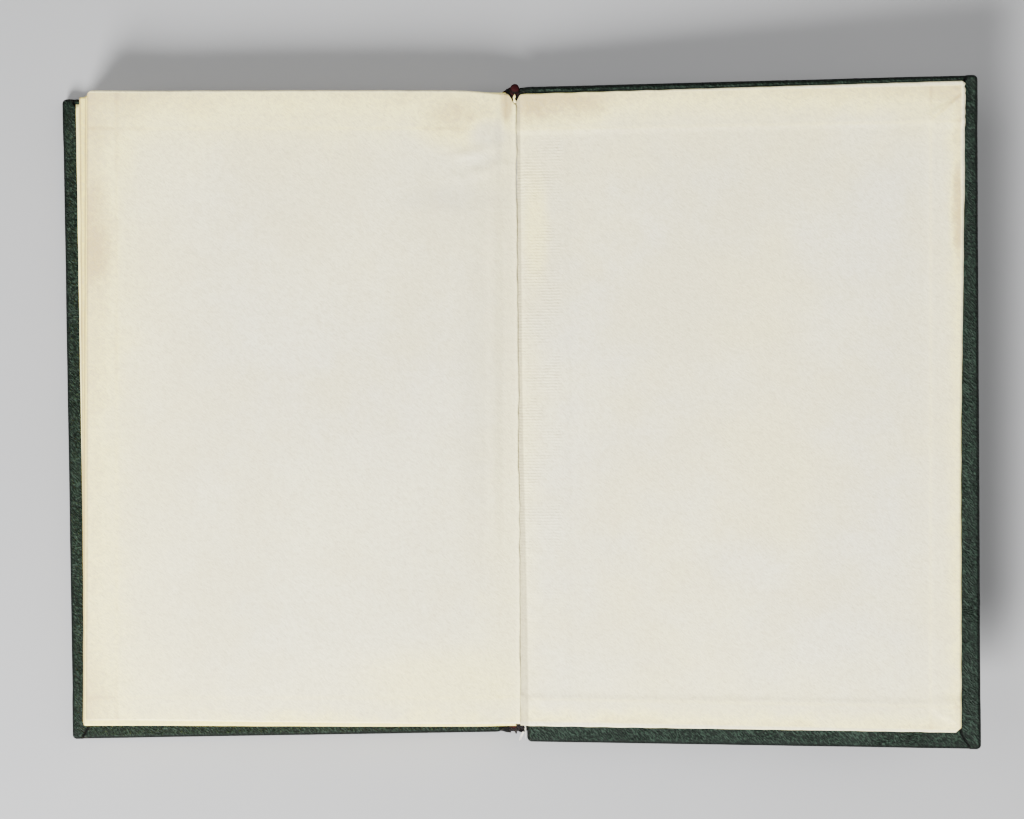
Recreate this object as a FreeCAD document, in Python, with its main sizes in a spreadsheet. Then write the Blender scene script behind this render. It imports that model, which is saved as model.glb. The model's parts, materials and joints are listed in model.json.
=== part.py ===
import FreeCAD
import Part
import os

import Sketcher
from FreeCAD import Rotation, Vector

# A case-bound pilot logbook lying open at its back end board.  Millimetres, +Z up.
# X runs across the book from the front cover to the back cover, and Y from tail to head.
# The origin is the centre of the face that the front cover rests on.

SIZES = {
    # cover boards and their covering cloth
    "board_width": 144.6,
    "board_height": 215.2,
    "board_thick": 2.2,
    "board_corner": 0.6,
    "cloth_thick": 0.4,
    "turn_in": 15.0,
    "front_skew": 0.95,
    # joints between the boards and the spine
    "front_joint": 6.7,
    "back_joint": 2.9,
    "joint_strip": 0.7,
    "hinge_reach": 0.5,
    "back_tilt": 4.67,
    "back_shift": 0.9,
    # end papers
    "paper_thick": 0.15,
    "paper_corner": 1.5,
    "head_margin": 2.0,
    "tail_margin": 5.5,
    "fore_margin": 4.8,
    "fold_gap": 0.3,
    "leaf_gap": 0.04,
    # text block
    "leaf_width": 141.5,
    "leaf_height": 208.5,
    "section_thick": 1.1,
    "lean_across": 4.0,
    "lean_along": 2.5,
    "block_shift": 0.3,
    # spine
    "stitch_thick": 0.25,
    "stitch_length": 22.0,
    "stitch_pitch": 40.0,
    "mull_thick": 0.2,
    "mull_height": 184.0,
    "wing_width": 14.0,
    "lining_thick": 0.3,
    "spine_air": 0.25,
    "card_thick": 0.8,
    "spine_clear": 0.8,
    "spine_drop": 1.6,
    "band_size": 1.6,
    "band_gap": 0.3,
}

SECTIONS = 8
TURNING_SECTIONS = 4
STITCHES = 5

doc = FreeCAD.newDocument("PilotLogbook")
sheet = doc.addObject("Spreadsheet::Sheet", "Sizes")
for row, (alias, value) in enumerate(SIZES.items(), start=1):
    sheet.set(f"A{row}", alias)
    sheet.set(f"B{row}", str(value))
    sheet.setAlias(f"B{row}", alias)
doc.recompute()

pieces = []


def formula(text):
    """Make a formula with <size> names read the sheet."""
    return text.replace("<", "Sizes.").replace(">", "")


def bind(item, **formulas):
    """Bind properties to formulas.  A double underscore in a name stands for a dot."""
    for name, text in formulas.items():
        item.setExpression(name.replace("__", "."), formula(text))


# Formulas that several pieces share.
COVER_THICK = "(<board_thick> + 2 * <cloth_thick>)"
COVER_WIDTH = "(<board_width> + <cloth_thick>)"
COVER_HEIGHT = "(<board_height> + 2 * <cloth_thick>)"
GUTTER = f"({COVER_WIDTH} / 2 + <front_joint>)"
LEAF_PITCH = "(<paper_thick> + <leaf_gap>)"
SECTION_PITCH = "(<section_thick> + <leaf_gap>)"
STACK_FOOT = f"({COVER_THICK} + {LEAF_PITCH})"
STACK_THICK = f"(4 * {LEAF_PITCH} + {SECTIONS} * {SECTION_PITCH} - <leaf_gap>)"
HINGE_LEVEL = f"({STACK_FOOT} + {STACK_THICK} + <leaf_gap> / 2)"


def section_foot(number):
    """Level of the underside of a section, counted from 1 at the front cover."""
    return f"({STACK_FOOT} + {LEAF_PITCH} + {number - 1} * {SECTION_PITCH})"


def leaf_foot(number):
    """Level of the underside of a back leaf, counted from 0 above the last section."""
    return f"({section_foot(SECTIONS + 1)} + {number} * {LEAF_PITCH})"


def back_of_block(level):
    """Where the leaning back of the text block stands at a level."""
    return f"({GUTTER} - <lean_across> * (1 - ({level} - {STACK_FOOT}) / {STACK_THICK}))"


def middle_of_block(level):
    """Where the middle of the leaves stands between tail and head at a level."""
    return f"(<block_shift> + <lean_along> * ({level} - {STACK_FOOT}) / {STACK_THICK})"


def leaning(label, foot, top, near, far, low, high):
    """A slab between two levels that follows the lean of the text block.

    near and far count from the back of the block, and low and high from its middle.
    """
    item = doc.addObject("Part::Wedge", label)
    item.Placement.Rotation = Rotation(Vector(1, 0, 0), 90)
    bind(
        item,
        Ymin="0",
        Ymax=f"{top} - {foot}",
        Xmin=f"{back_of_block(foot)} + {near}",
        Xmax=f"{back_of_block(foot)} + {far}",
        X2min=f"{back_of_block(top)} + {near}",
        X2max=f"{back_of_block(top)} + {far}",
        Zmin=f"-({middle_of_block(foot)} + {high})",
        Zmax=f"-({middle_of_block(foot)} + {low})",
        Z2min=f"-({middle_of_block(top)} + {high})",
        Z2max=f"-({middle_of_block(top)} + {low})",
        Placement__Base__z=foot,
    )
    return item


def leaves(label, foot, thickness):
    """A leaf or a section: the whole page area between two levels."""
    half = "<leaf_height> / 2"
    top = f"({foot} + {thickness})"
    pieces.append(leaning(label, foot, top, "-<leaf_width>", "0", f"-{half}", half))


def new_body(label, place):
    body = doc.addObject("PartDesign::Body", label)
    pieces.append(body)
    place(body)
    return body


def rectangle(body, name, level, left, right, tail, head):
    """A sketch at a level, of one rectangle whose four sides are bound to formulas."""
    sketch = body.newObject("Sketcher::SketchObject", name)
    planes = body.Origin.OriginFeatures
    plane = next(feature for feature in planes if feature.Role == "XY_Plane")
    sketch.AttachmentSupport = [(plane, "")]
    sketch.MapMode = "FlatFace"
    bind(sketch, AttachmentOffset__Base__z=level)
    reach = 20.0
    corners = [(-reach, -reach), (reach, -reach), (reach, reach), (-reach, reach)]
    for side in range(4):
        start, end = corners[side], corners[(side + 1) % 4]
        sketch.addGeometry(Part.LineSegment(Vector(*start, 0), Vector(*end, 0)))
    for side in range(4):
        sketch.addConstraint(Sketcher.Constraint("Coincident", side, 2, (side + 1) % 4, 1))
        direction = "Horizontal" if side % 2 == 0 else "Vertical"
        sketch.addConstraint(Sketcher.Constraint(direction, side))
    sides = [
        ("left", "DistanceX", 0, -reach, left),
        ("right", "DistanceX", 1, reach, right),
        ("tail", "DistanceY", 0, -reach, tail),
        ("head", "DistanceY", 2, reach, head),
    ]
    for side, kind, line, value, text in sides:
        index = sketch.addConstraint(Sketcher.Constraint(kind, -1, 1, line, 1, value))
        sketch.renameConstraint(index, side)
        sketch.setExpression(f"Constraints.{side}", formula(text))
    return sketch


def pad(body, name, level, thickness, frame):
    feature = body.newObject("PartDesign::Pad", name)
    feature.Profile = rectangle(body, f"{name}_outline", level, *frame)
    bind(feature, Length=thickness)
    doc.recompute()
    return feature


def pocket(body, name, level, depth, frame):
    """Cut a rectangle upward from a level, and make sure that it cut something."""
    before = body.Shape.Volume
    feature = body.newObject("PartDesign::Pocket", name)
    feature.Profile = rectangle(body, f"{name}_outline", level, *frame)
    feature.Reversed = True
    bind(feature, Length=depth)
    doc.recompute()
    if body.Shape.Volume > before - 1:
        raise RuntimeError(f"{name} cuts nothing")


def corners(body, base, kind, fore_side, **sizes):
    """Round or chamfer the two upright edges on the fore edge of a padded rectangle."""
    box = base.Shape.BoundBox
    fore = box.XMin if fore_side < 0 else box.XMax
    names = []
    for number, edge in enumerate(base.Shape.Edges, start=1):
        middle = edge.BoundBox.Center
        upright = edge.BoundBox.ZLength > 0.9 * box.ZLength
        if upright and abs(middle.x - fore) < 0.01 and edge.BoundBox.YLength < 0.01:
            names.append(f"Edge{number}")
    feature = body.newObject(f"PartDesign::{kind}", f"{body.Name}_corners")
    feature.Base = (base, names)
    bind(feature, **sizes)
    doc.recompute()


def cover(side, fore_side, spine_edge, foot, middle, lap, place):
    """One cover with its inner face up: board, cloth, joint strip, mull wing and pastedown.

    fore_side is -1 or 1.  spine_edge, foot and middle place the cover in its own frame, and
    lap is how far the pastedown reaches past the board towards the spine.
    """
    half = "<board_height> / 2"

    def frame(near, far, tail, head):
        """Rectangle from near to far, counted from the spine edge, inside the board's ends."""
        ends = [f"{spine_edge} + {fore_side} * ({reach})" for reach in (near, far)]
        left, right = ends if fore_side > 0 else reversed(ends)
        return left, right, f"{middle} - {half} + ({tail})", f"{middle} + {half} - ({head})"

    board_foot = f"{foot} + <cloth_thick>"
    board_top = f"{foot} + <cloth_thick> + <board_thick>"
    whole_board = frame("0", "<board_width>", "0", "0")

    board = new_body(f"{side}_board", place)
    plate = pad(board, f"{side}_board_plate", board_foot, "<board_thick>", whole_board)
    corners(board, plate, "Fillet", fore_side, Radius="<board_corner>")

    cloth = new_body(f"{side}_cover_cloth", place)
    outside = frame("0", "<board_width> + <cloth_thick>", "-<cloth_thick>", "-<cloth_thick>")
    wrap = pad(cloth, f"{side}_cloth_wrap", foot, COVER_THICK, outside)
    corners(cloth, wrap, "Fillet", fore_side, Radius="<board_corner> + <cloth_thick>")
    cavity = frame("-<cloth_thick>", "<board_width>", "0", "0")
    pocket(cloth, f"{side}_board_space", board_foot, "<board_thick>", cavity)
    opening = frame("-<cloth_thick>", "<board_width> - <turn_in>", "<turn_in>", "<turn_in>")
    pocket(cloth, f"{side}_turn_in_window", board_top, "<cloth_thick>", opening)

    strip = new_body(f"{side}_joint_cloth", place)
    strip_foot = f"{board_top} - <cloth_thick>"
    strip_frame = frame("-<joint_strip>", "0", "0", "0")
    pad(strip, f"{side}_joint_strip", strip_foot, "<cloth_thick>", strip_frame)

    wing = new_body(f"{side}_mull_wing", place)
    wing_end = "(<board_height> - <mull_height>) / 2"
    wing_frame = frame("0", "<wing_width>", wing_end, wing_end)
    pad(wing, f"{side}_wing_sheet", board_top, "<mull_thick>", wing_frame)

    paper = new_body(f"{side}_pastedown", place)
    paper_frame = frame(
        f"-({lap})",
        "<board_width> + <cloth_thick> - <fore_margin>",
        "<tail_margin> - <cloth_thick>",
        "<head_margin> - <cloth_thick>",
    )
    sheet_top = pad(paper, f"{side}_paper", f"{foot} + {COVER_THICK}", "<paper_thick>", paper_frame)
    corners(paper, sheet_top, "Chamfer", fore_side, Size="<paper_corner>")


def lay_front(body):
    """The front cover lies on its outer face, a little askew to the text block."""
    body.Placement.Rotation = Rotation(Vector(0, 0, 1), 1)
    bind(body, Placement__Rotation__Angle="<front_skew>")


def lay_back(body):
    """The back cover stands up a little from its hinge at the top of the text block."""
    body.Placement.Rotation = Rotation(Vector(0, -1, 0), 1)
    bind(
        body,
        Placement__Rotation__Angle="<back_tilt>",
        Placement__Base__x=f"{GUTTER} + <hinge_reach>",
        Placement__Base__y="<back_shift>",
        Placement__Base__z=HINGE_LEVEL,
    )


def sewing():
    """The stitches across the folds of the sections that stay, as one group."""
    foot = section_foot(TURNING_SECTIONS + 1)
    top = f"({section_foot(SECTIONS)} + <section_thick>)"
    stitches = []
    for number in range(STITCHES):
        centre = f"{number - (STITCHES - 1) / 2} * <stitch_pitch>"
        low, high = f"{centre} - <stitch_length> / 2", f"{centre} + <stitch_length> / 2"
        name = f"stitch_{number + 1}"
        stitches.append(leaning(name, foot, top, "0", "<stitch_thick>", low, high))
    group = doc.addObject("Part::Compound", "sewing_thread")
    group.Links = stitches
    pieces.append(group)


def spine():
    """Mull, lining, end bands, and the card with its cloth, behind the text block."""
    foot = f"({STACK_FOOT} + <spine_clear>)"
    top = f"({HINGE_LEVEL} - <spine_clear>)"
    mull = "<stitch_thick>"
    lining = f"({mull} + <mull_thick>)"
    case = f"({lining} + <lining_thick> + <spine_air>)"
    card = f"({case} + <cloth_thick>)"
    outside = f"({card} + <card_thick> + <cloth_thick>)"

    half = "<mull_height> / 2"
    pieces.append(leaning("mull", foot, top, mull, lining, f"-{half}", half))
    band_start = "(<leaf_height> / 2 + <band_gap>)"
    band_end = f"({band_start} + <band_size>)"
    lining_far = f"{lining} + <lining_thick>"
    pieces.append(leaning("spine_lining", foot, top, lining, lining_far, f"-{band_end}", band_end))
    band_near = f"{lining} - <band_size>"
    head = leaning("headband", foot, top, band_near, lining, band_start, band_end)
    tail = leaning("tailband", foot, top, band_near, lining, f"-{band_end}", f"-{band_start}")
    pieces.extend([head, tail])

    low, high = f"-{COVER_HEIGHT} / 2 - <spine_drop>", f"{COVER_HEIGHT} / 2 - <spine_drop>"
    inner_low, inner_high = f"{low} + <cloth_thick>", f"{high} - <cloth_thick>"
    card_far = f"{card} + <card_thick>"
    pieces.append(leaning("spine_card", foot, top, card, card_far, inner_low, inner_high))

    wrap = leaning("spine_wrap", foot, top, case, outside, low, high)
    room = leaning("card_space", foot, top, card, card_far, inner_low, inner_high)
    window_low, window_high = f"{low} + <turn_in>", f"{high} - <turn_in>"
    window = leaning("spine_window", foot, top, case, card, window_low, window_high)
    spaces = doc.addObject("Part::MultiFuse", "spine_spaces")
    spaces.Shapes = [room, window]
    cloth = doc.addObject("Part::Cut", "spine_cloth")
    cloth.Base = wrap
    cloth.Tool = spaces
    pieces.append(cloth)


cover("front", -1, f"{COVER_WIDTH} / 2", "0", "0", "<joint_strip>", lay_front)

leaves("front_flyleaf", STACK_FOOT, "<paper_thick>")
for section in range(1, SECTIONS + 1):
    leaves(f"section_{section}", section_foot(section), "<section_thick>")
for number, leaf in enumerate(("last_leaf_lower", "last_leaf_upper", "back_flyleaf")):
    leaves(leaf, leaf_foot(number), "<paper_thick>")
sewing()
spine()

hinge_to_paper = f"(<leaf_gap> + {COVER_THICK} + <paper_thick>)"
back_lap = "<back_joint> - <fold_gap>"
cover("back", 1, "<back_joint>", f"-{hinge_to_paper}", "0", back_lap, lay_back)

doc.recompute()
for item in doc.Objects:
    if "Invalid" in item.State or "Error" in item.State:
        raise RuntimeError(f"{item.Label} failed: {item.State}")
for piece in pieces:
    if piece.Shape.isNull() or not piece.Shape.isValid():
        raise RuntimeError(f"{piece.Label} has no valid shape")

os.makedirs("parts", exist_ok=True)
for piece in pieces:
    piece.Shape.exportStep(f"parts/{piece.Label}.step")
    box = piece.Shape.BoundBox
    spans = [(box.XMin, box.XMax), (box.YMin, box.YMax), (box.ZMin, box.ZMax)]
    print(piece.Label, *(f"{low:.2f}..{high:.2f}" for low, high in spans))
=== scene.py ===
import json
import math
import random

import bpy
import numpy as np
from mathutils import Matrix, Vector, noise


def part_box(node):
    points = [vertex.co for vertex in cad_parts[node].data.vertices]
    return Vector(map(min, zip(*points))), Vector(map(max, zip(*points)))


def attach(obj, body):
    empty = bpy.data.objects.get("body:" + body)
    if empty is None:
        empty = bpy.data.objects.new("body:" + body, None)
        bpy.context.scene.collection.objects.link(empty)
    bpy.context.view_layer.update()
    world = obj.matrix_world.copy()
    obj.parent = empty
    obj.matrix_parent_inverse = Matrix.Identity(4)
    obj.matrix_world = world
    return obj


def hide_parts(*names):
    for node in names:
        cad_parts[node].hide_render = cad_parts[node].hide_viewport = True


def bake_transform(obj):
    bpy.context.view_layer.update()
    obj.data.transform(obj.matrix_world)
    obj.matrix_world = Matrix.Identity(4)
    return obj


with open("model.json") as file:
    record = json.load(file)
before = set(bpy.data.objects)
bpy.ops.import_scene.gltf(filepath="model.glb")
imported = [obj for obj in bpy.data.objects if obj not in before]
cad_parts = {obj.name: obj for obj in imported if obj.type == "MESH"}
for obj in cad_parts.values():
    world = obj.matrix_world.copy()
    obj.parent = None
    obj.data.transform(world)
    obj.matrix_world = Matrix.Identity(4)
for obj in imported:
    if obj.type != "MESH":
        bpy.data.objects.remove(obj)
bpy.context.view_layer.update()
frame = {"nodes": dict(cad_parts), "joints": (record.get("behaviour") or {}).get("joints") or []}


class Wire:
    def __init__(self, maker, socket):
        self.maker, self.socket = maker, socket

    def maths(self, operation, *others, flip=False):
        values = [*others, self] if flip else [self, *others]
        node = self.maker.node("ShaderNodeMath", {"operation": operation}, dict(enumerate(values)))
        return node["Value"]

    def __add__(self, other):
        return self.maths("ADD", other)

    def __sub__(self, other):
        return self.maths("SUBTRACT", other)

    def __rsub__(self, other):
        return self.maths("SUBTRACT", other, flip=True)

    def __mul__(self, other):
        return self.maths("MULTIPLY", other)

    def __truediv__(self, other):
        return self.maths("DIVIDE", other)

    def __pow__(self, other):
        return self.maths("POWER", other)

    def abs(self):
        return self.maths("ABSOLUTE")

    def least(self, other):
        return self.maths("MINIMUM", other)

    def most(self, other):
        return self.maths("MAXIMUM", other)

    __radd__ = __add__
    __rmul__ = __mul__


class Outputs:
    def __init__(self, maker, node):
        self.maker, self.node = maker, node

    def __getitem__(self, name):
        return Wire(self.maker, self.node.outputs[name])


class Maker:
    # builds one material round a Principled BSDF; place is the frame that its coordinates are taken in
    def __init__(self, name, place=None, **constants):
        self.material = bpy.data.materials.new(name)
        self.material.use_nodes = True
        self.tree = self.material.node_tree
        self.shader = self.tree.nodes["Principled BSDF"]
        for socket, value in constants.items():
            self.shader.inputs[socket.replace("_", " ")].default_value = value
        self.place = self.node("ShaderNodeTexCoord")["Object"]
        if place:
            back = place.inverted()
            self.place = self.moved(self.place, Rotation=back.to_euler(), Location=back.translation)
        split = self.node("ShaderNodeSeparateXYZ", {}, {"Vector": self.place})
        self.x, self.y, self.z = split["X"], split["Y"], split["Z"]

    def node(self, kind, settings=None, inputs=None):
        node = self.tree.nodes.new(kind)
        for key, value in (settings or {}).items():
            if key == "stops":
                ramp = node.color_ramp
                while len(ramp.elements) < len(value):
                    ramp.elements.new(0.5)
                for element, (position, colour) in zip(ramp.elements, value):
                    element.position, element.color = position, (*colour, 1)
            else:
                setattr(node, key, value)
        for key, value in (inputs or {}).items():
            socket = node.inputs[key]
            if isinstance(value, Wire):
                self.tree.links.new(value.socket, socket)
            elif socket.type == "RGBA" and len(value) == 3:
                socket.default_value = (*value, 1)
            else:
                socket.default_value = value
        return Outputs(self, node)

    def moved(self, vector, **inputs):
        return self.node("ShaderNodeMapping", {}, {"Vector": vector, **inputs})["Vector"]

    def grained(self, long, turn):
        # coordinates that make features longer by a factor, in a direction turn from the x axis
        if long == 1:
            return self.place
        return self.moved(self.moved(self.place, Rotation=(0, 0, -turn)), Scale=(1 / long, 1, 1))

    def noise(self, size, detail=3, roughness=0.55, long=1, turn=0.0, distortion=0.0):
        # size is the width of a feature in metres
        return self.node("ShaderNodeTexNoise", {}, {
            "Vector": self.grained(long, turn), "Scale": 1 / size, "Detail": detail,
            "Roughness": roughness, "Distortion": distortion})["Fac"]

    def cells(self, size, long=1, turn=0.0):
        return self.node("ShaderNodeTexVoronoi", {}, {
            "Vector": self.grained(long, turn), "Scale": 1 / size})["Distance"]

    def fade(self, value, start, end, low=0.0, high=1.0):
        # goes smoothly from low at start to high at end
        node = self.node("ShaderNodeMapRange", {"interpolation_type": "SMOOTHSTEP"}, {
            "Value": value, "From Min": start, "From Max": end, "To Min": low, "To Max": high})
        return node["Result"]

    def mix(self, factor, first, second, blend="MIX"):
        node = self.node("ShaderNodeMix", {"data_type": "RGBA", "blend_type": blend},
                         {0: factor, 6: first, 7: second})
        return Wire(self, node.node.outputs[2])

    def spot(self, x, y, width, height):
        # 1 at a place, fading to 0 at an ellipse round it
        across = (self.x - x) / width
        along = (self.y - y) / height
        return self.fade((across * across + along * along) ** 0.5, 1.0, 0.25)

    def band(self, value, centre, width):
        return self.fade((value - centre).abs(), width, 0.0)

    def finish(self, colour, roughness, relief, depth):
        # depth is how far the relief rises from 0 to 1, in metres
        bump = self.node("ShaderNodeBump", {}, {"Height": relief, "Distance": depth, "Strength": 1.0})
        for socket, value in (("Base Color", colour), ("Roughness", roughness), ("Normal", bump["Normal"])):
            self.tree.links.new(value.socket, self.shader.inputs[socket])
        return self.material


def jointPlace(name):
    joint = next(entry for entry in frame["joints"] if entry["name"] == name)
    return Vector(joint["pos_m"])


def localBox(node, place):
    # lowest and highest corner of a CAD node in a cover's own frame
    back = place.inverted()
    points = np.array([back @ vertex.co for vertex in frame["nodes"][node].data.vertices])
    return Vector(points.min(0)), Vector(points.max(0))


backHinge = jointPlace("back_cover_hinge")
frontHinge = jointPlace("front_cover_hinge")
flyleafLow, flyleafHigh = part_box("back_flyleaf")
gutter = flyleafHigh.x
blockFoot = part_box("front_flyleaf")[0].z
blockTop = flyleafHigh.z
pasteLow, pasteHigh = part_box("back_pastedown")
tilt = math.atan2(pasteHigh.z - pasteLow.z, pasteHigh.x - pasteLow.x)
stripLow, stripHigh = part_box("front_joint_cloth")
backStripLow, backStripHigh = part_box("back_joint_cloth")
skew = math.asin((stripHigh.x - stripLow.x - backStripHigh.x + backStripLow.x)
                 / (backStripHigh.y - backStripLow.y))
frontPlace = Matrix.Rotation(skew, 4, "Z")
backPlace = Matrix.Translation(backHinge) @ Matrix.Rotation(-tilt, 4, "Y")


def makeMesh(name, points, faces, material, smooth=True):
    mesh = bpy.data.meshes.new(name)
    mesh.from_pydata([tuple(point) for point in points], [], faces)
    mesh.validate()
    mesh.update()
    if smooth:
        mesh.polygons.foreach_set("use_smooth", [True] * len(mesh.polygons))
    piece = bpy.data.objects.new(name, mesh)
    bpy.context.scene.collection.objects.link(piece)
    mesh.materials.append(material)
    return piece


def smoothStep(value, start, end):
    share = min(max((value - start) / (end - start), 0.0), 1.0)
    return share * share * (3 - 2 * share)


def wander(x, y, size, seed=0.0):
    # gentle noise from -1 to 1 with features of a given size
    return noise.noise(Vector((x / size, y / size, seed)))


def gridFaces(rows, columns, first, flip=False):
    faces = []
    for row in range(rows - 1):
        for column in range(columns - 1):
            a = first + row * columns + column
            face = [a, a + 1, a + columns + 1, a + columns]
            faces.append(face[::-1] if flip else face)
    return faces


def sheetParts(spot, top, across, along, thickness):
    # a closed sheet: spot(u, v) gives x and y, top(x, y, u, v) the level of its upper face
    upper, lower = [], []
    for v in along:
        for u in across:
            x, y = spot(u, v)
            z = top(x, y, u, v)
            upper.append((x, y, z))
            lower.append((x, y, z - thickness))
    rows, columns = len(along), len(across)
    count = rows * columns
    faces = gridFaces(rows, columns, 0) + gridFaces(rows, columns, count, flip=True)
    rim = [column for column in range(columns)]
    rim += [row * columns + columns - 1 for row in range(1, rows)]
    rim += [(rows - 1) * columns + column for column in range(columns - 2, -1, -1)]
    rim += [row * columns for row in range(rows - 2, 0, -1)]
    for here, there in zip(rim, rim[1:] + rim[:1]):
        faces.append([here, count + here, count + there, there])
    return upper + lower, faces


def spread(count, dense=0.0):
    # positions from 0 to 1, closer together at both ends when dense is above 0
    steps = [index / (count - 1) for index in range(count)]
    return [step - dense * math.sin(2 * math.pi * step) / (2 * math.pi) for step in steps]


def cutCorner(x, y, cornerX, cornerY, width, height):
    # moves a point beyond a cut corner onto the cut; width and height point into the sheet
    across, along = (cornerX + width - x) / width, (cornerY + height - y) / height
    if across > 0 and along > 0 and across + along > 1:
        scale = 1 / (across + along)
        return cornerX + width - across * scale * width, cornerY + height - along * scale * height
    return x, y


def joinParts(name, parts, material, smooth=True):
    points, faces = [], []
    for somePoints, someFaces in parts:
        start = len(points)
        points += somePoints
        faces += [[start + index for index in face] for face in someFaces]
    return makeMesh(name, points, faces, material, smooth)


paper = dict(
    cream=(0.77, 0.71, 0.435), pale=(0.80, 0.76, 0.555), toned=(1.0, 0.90, 0.36), edge=(1.0, 0.88, 0.20),
    brown=(0.50, 0.35, 0.13), speck=(0.30, 0.22, 0.14), feltShade=(0.58, 0.51, 0.31),
    fibreShade=(0.52, 0.45, 0.28), handled=(0.38, 0.28, 0.12), fibre=0.00045, fibreLong=3, fibreTurn=-0.7,
    feltSize=0.001575, cloud=0.030, speckPitch=0.0045, speckPatch=0.012, feltDepth=0.30, fibreDepth=0.42,
    brownFrom=0.95, roughness=0.78, shine=0.2)


def paperBase(name):
    maker = Maker(name, Specular_IOR_Level=paper["shine"])
    fibres = maker.noise(paper["fibre"], 4, 0.7, long=paper["fibreLong"], turn=paper["fibreTurn"])
    felt = maker.noise(paper["feltSize"], 4, 0.65)
    clouds = maker.noise(paper["cloud"], 4, 0.6)
    specks = maker.fade(maker.cells(paper["speckPitch"]), 0.06, 0.02)
    rareSpecks = specks * maker.fade(maker.noise(paper["speckPatch"], 2), 0.58, 0.66)
    return maker, fibres, felt, clouds, rareSpecks


def paperColour(maker, fibres, felt, clouds, specks, tone, toned=paper["toned"]):
    # tone is how yellow the paper is, from 0 to 1 and past it where it is brown
    base = maker.mix(maker.fade(clouds, 0.35, 0.7), paper["cream"], paper["pale"])
    mottled = tone * (0.55 + clouds * 0.6 + felt * 0.4)
    yellow = maker.mix(mottled.least(1.0).most(0.0), base, toned)
    browning = ((mottled - paper["brownFrom"]) * 1.1).least(0.8).most(0.0)
    brown = maker.mix(browning, yellow, paper["brown"])
    flecked = maker.mix(specks * 0.5, brown, paper["speck"])
    worn = maker.mix(maker.fade(felt, 0.42, 0.66) * paper["feltDepth"], flecked, paper["feltShade"])
    return maker.mix(maker.fade(fibres, 0.42, 0.70) * paper["fibreDepth"], worn, paper["fibreShade"])


def fromCorner(distance, low, high):
    # a place measured from the low side, or from the high side where the distance is negative
    return high + distance if distance < 0 else low + distance


def marked(maker, low, high, marks, together=True):
    # soft marks on a sheet, each with its x, y, width, height and strength; added up, or the strongest
    total = None
    for x, y, width, height, strength in marks.values():
        middleX, middleY = fromCorner(x, low.x, high.x), fromCorner(y, low.y, high.y)
        mark = maker.spot(middleX, middleY, width, height) * strength
        if total is None:
            total = mark
        else:
            total = total + mark if together else total.most(mark)
    return total


ghostShape = dict(fore=0.0105, head=0.0125, tail=0.0085, width=0.0010, mitreSlope=1.18, mitreX=0.0050,
                  mitreY=0.0020, mitreShift=-0.0010, mitreWidth=0.0014, mitreReach=0.0150, mitreStrength=1.8)


def turnInGhost(maker, low, high):
    # soft lines where the turned-in cloth ends under the paper
    shape = ghostShape
    edges = maker.band(maker.x, high.x - shape["fore"], shape["width"])
    edges = edges.most(maker.band(maker.y, high.y - shape["head"], shape["width"]))
    near = high.y + shape["mitreY"] - maker.y
    across = (high.x + shape["mitreX"] - maker.x) - near * shape["mitreSlope"]
    mitre = maker.band(across, shape["mitreShift"], shape["mitreWidth"])
    reach = maker.fade(near, shape["mitreReach"], shape["mitreReach"] - 0.001)
    edges = edges.most(mitre * reach * shape["mitreStrength"])
    return edges.most(maker.band(maker.y, low.y + shape["tail"], shape["width"]))


crack = dict(offset=0.0005, slope=0.0080, fine=0.00030, fineSize=0.0045, broad=0.00038, broadSize=0.022)
pasteTone = dict(
    rimTail=0.008, rimHead=0.014, rimFore=0.007, rim=0.75, ghost=0.22, blotch=0.26, blotchSize=0.05,
    gutterWidth=0.010, gutterTone=0.30, agedHead=0.035, agedFore=0.022, agedTail=0.035,
    grooveNarrow=0.0014, grooveWide=0.0026,
    grime=(0.36, 0.32, 0.19), ribShade=(0.55, 0.48, 0.33), ribScale=320.0, relief=0.00040)
pasteMarks = dict(
    mullStain=(0.0055, -0.046, 0.006, 0.026, 0.55), headStain=(0.012, -0.006, 0.026, 0.012, 0.42),
    thumbStain=(-0.0022, -0.042, 0.0035, 0.022, 0.55), lowStain=(-0.052, 0.062, 0.010, 0.030, 0.10))


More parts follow.
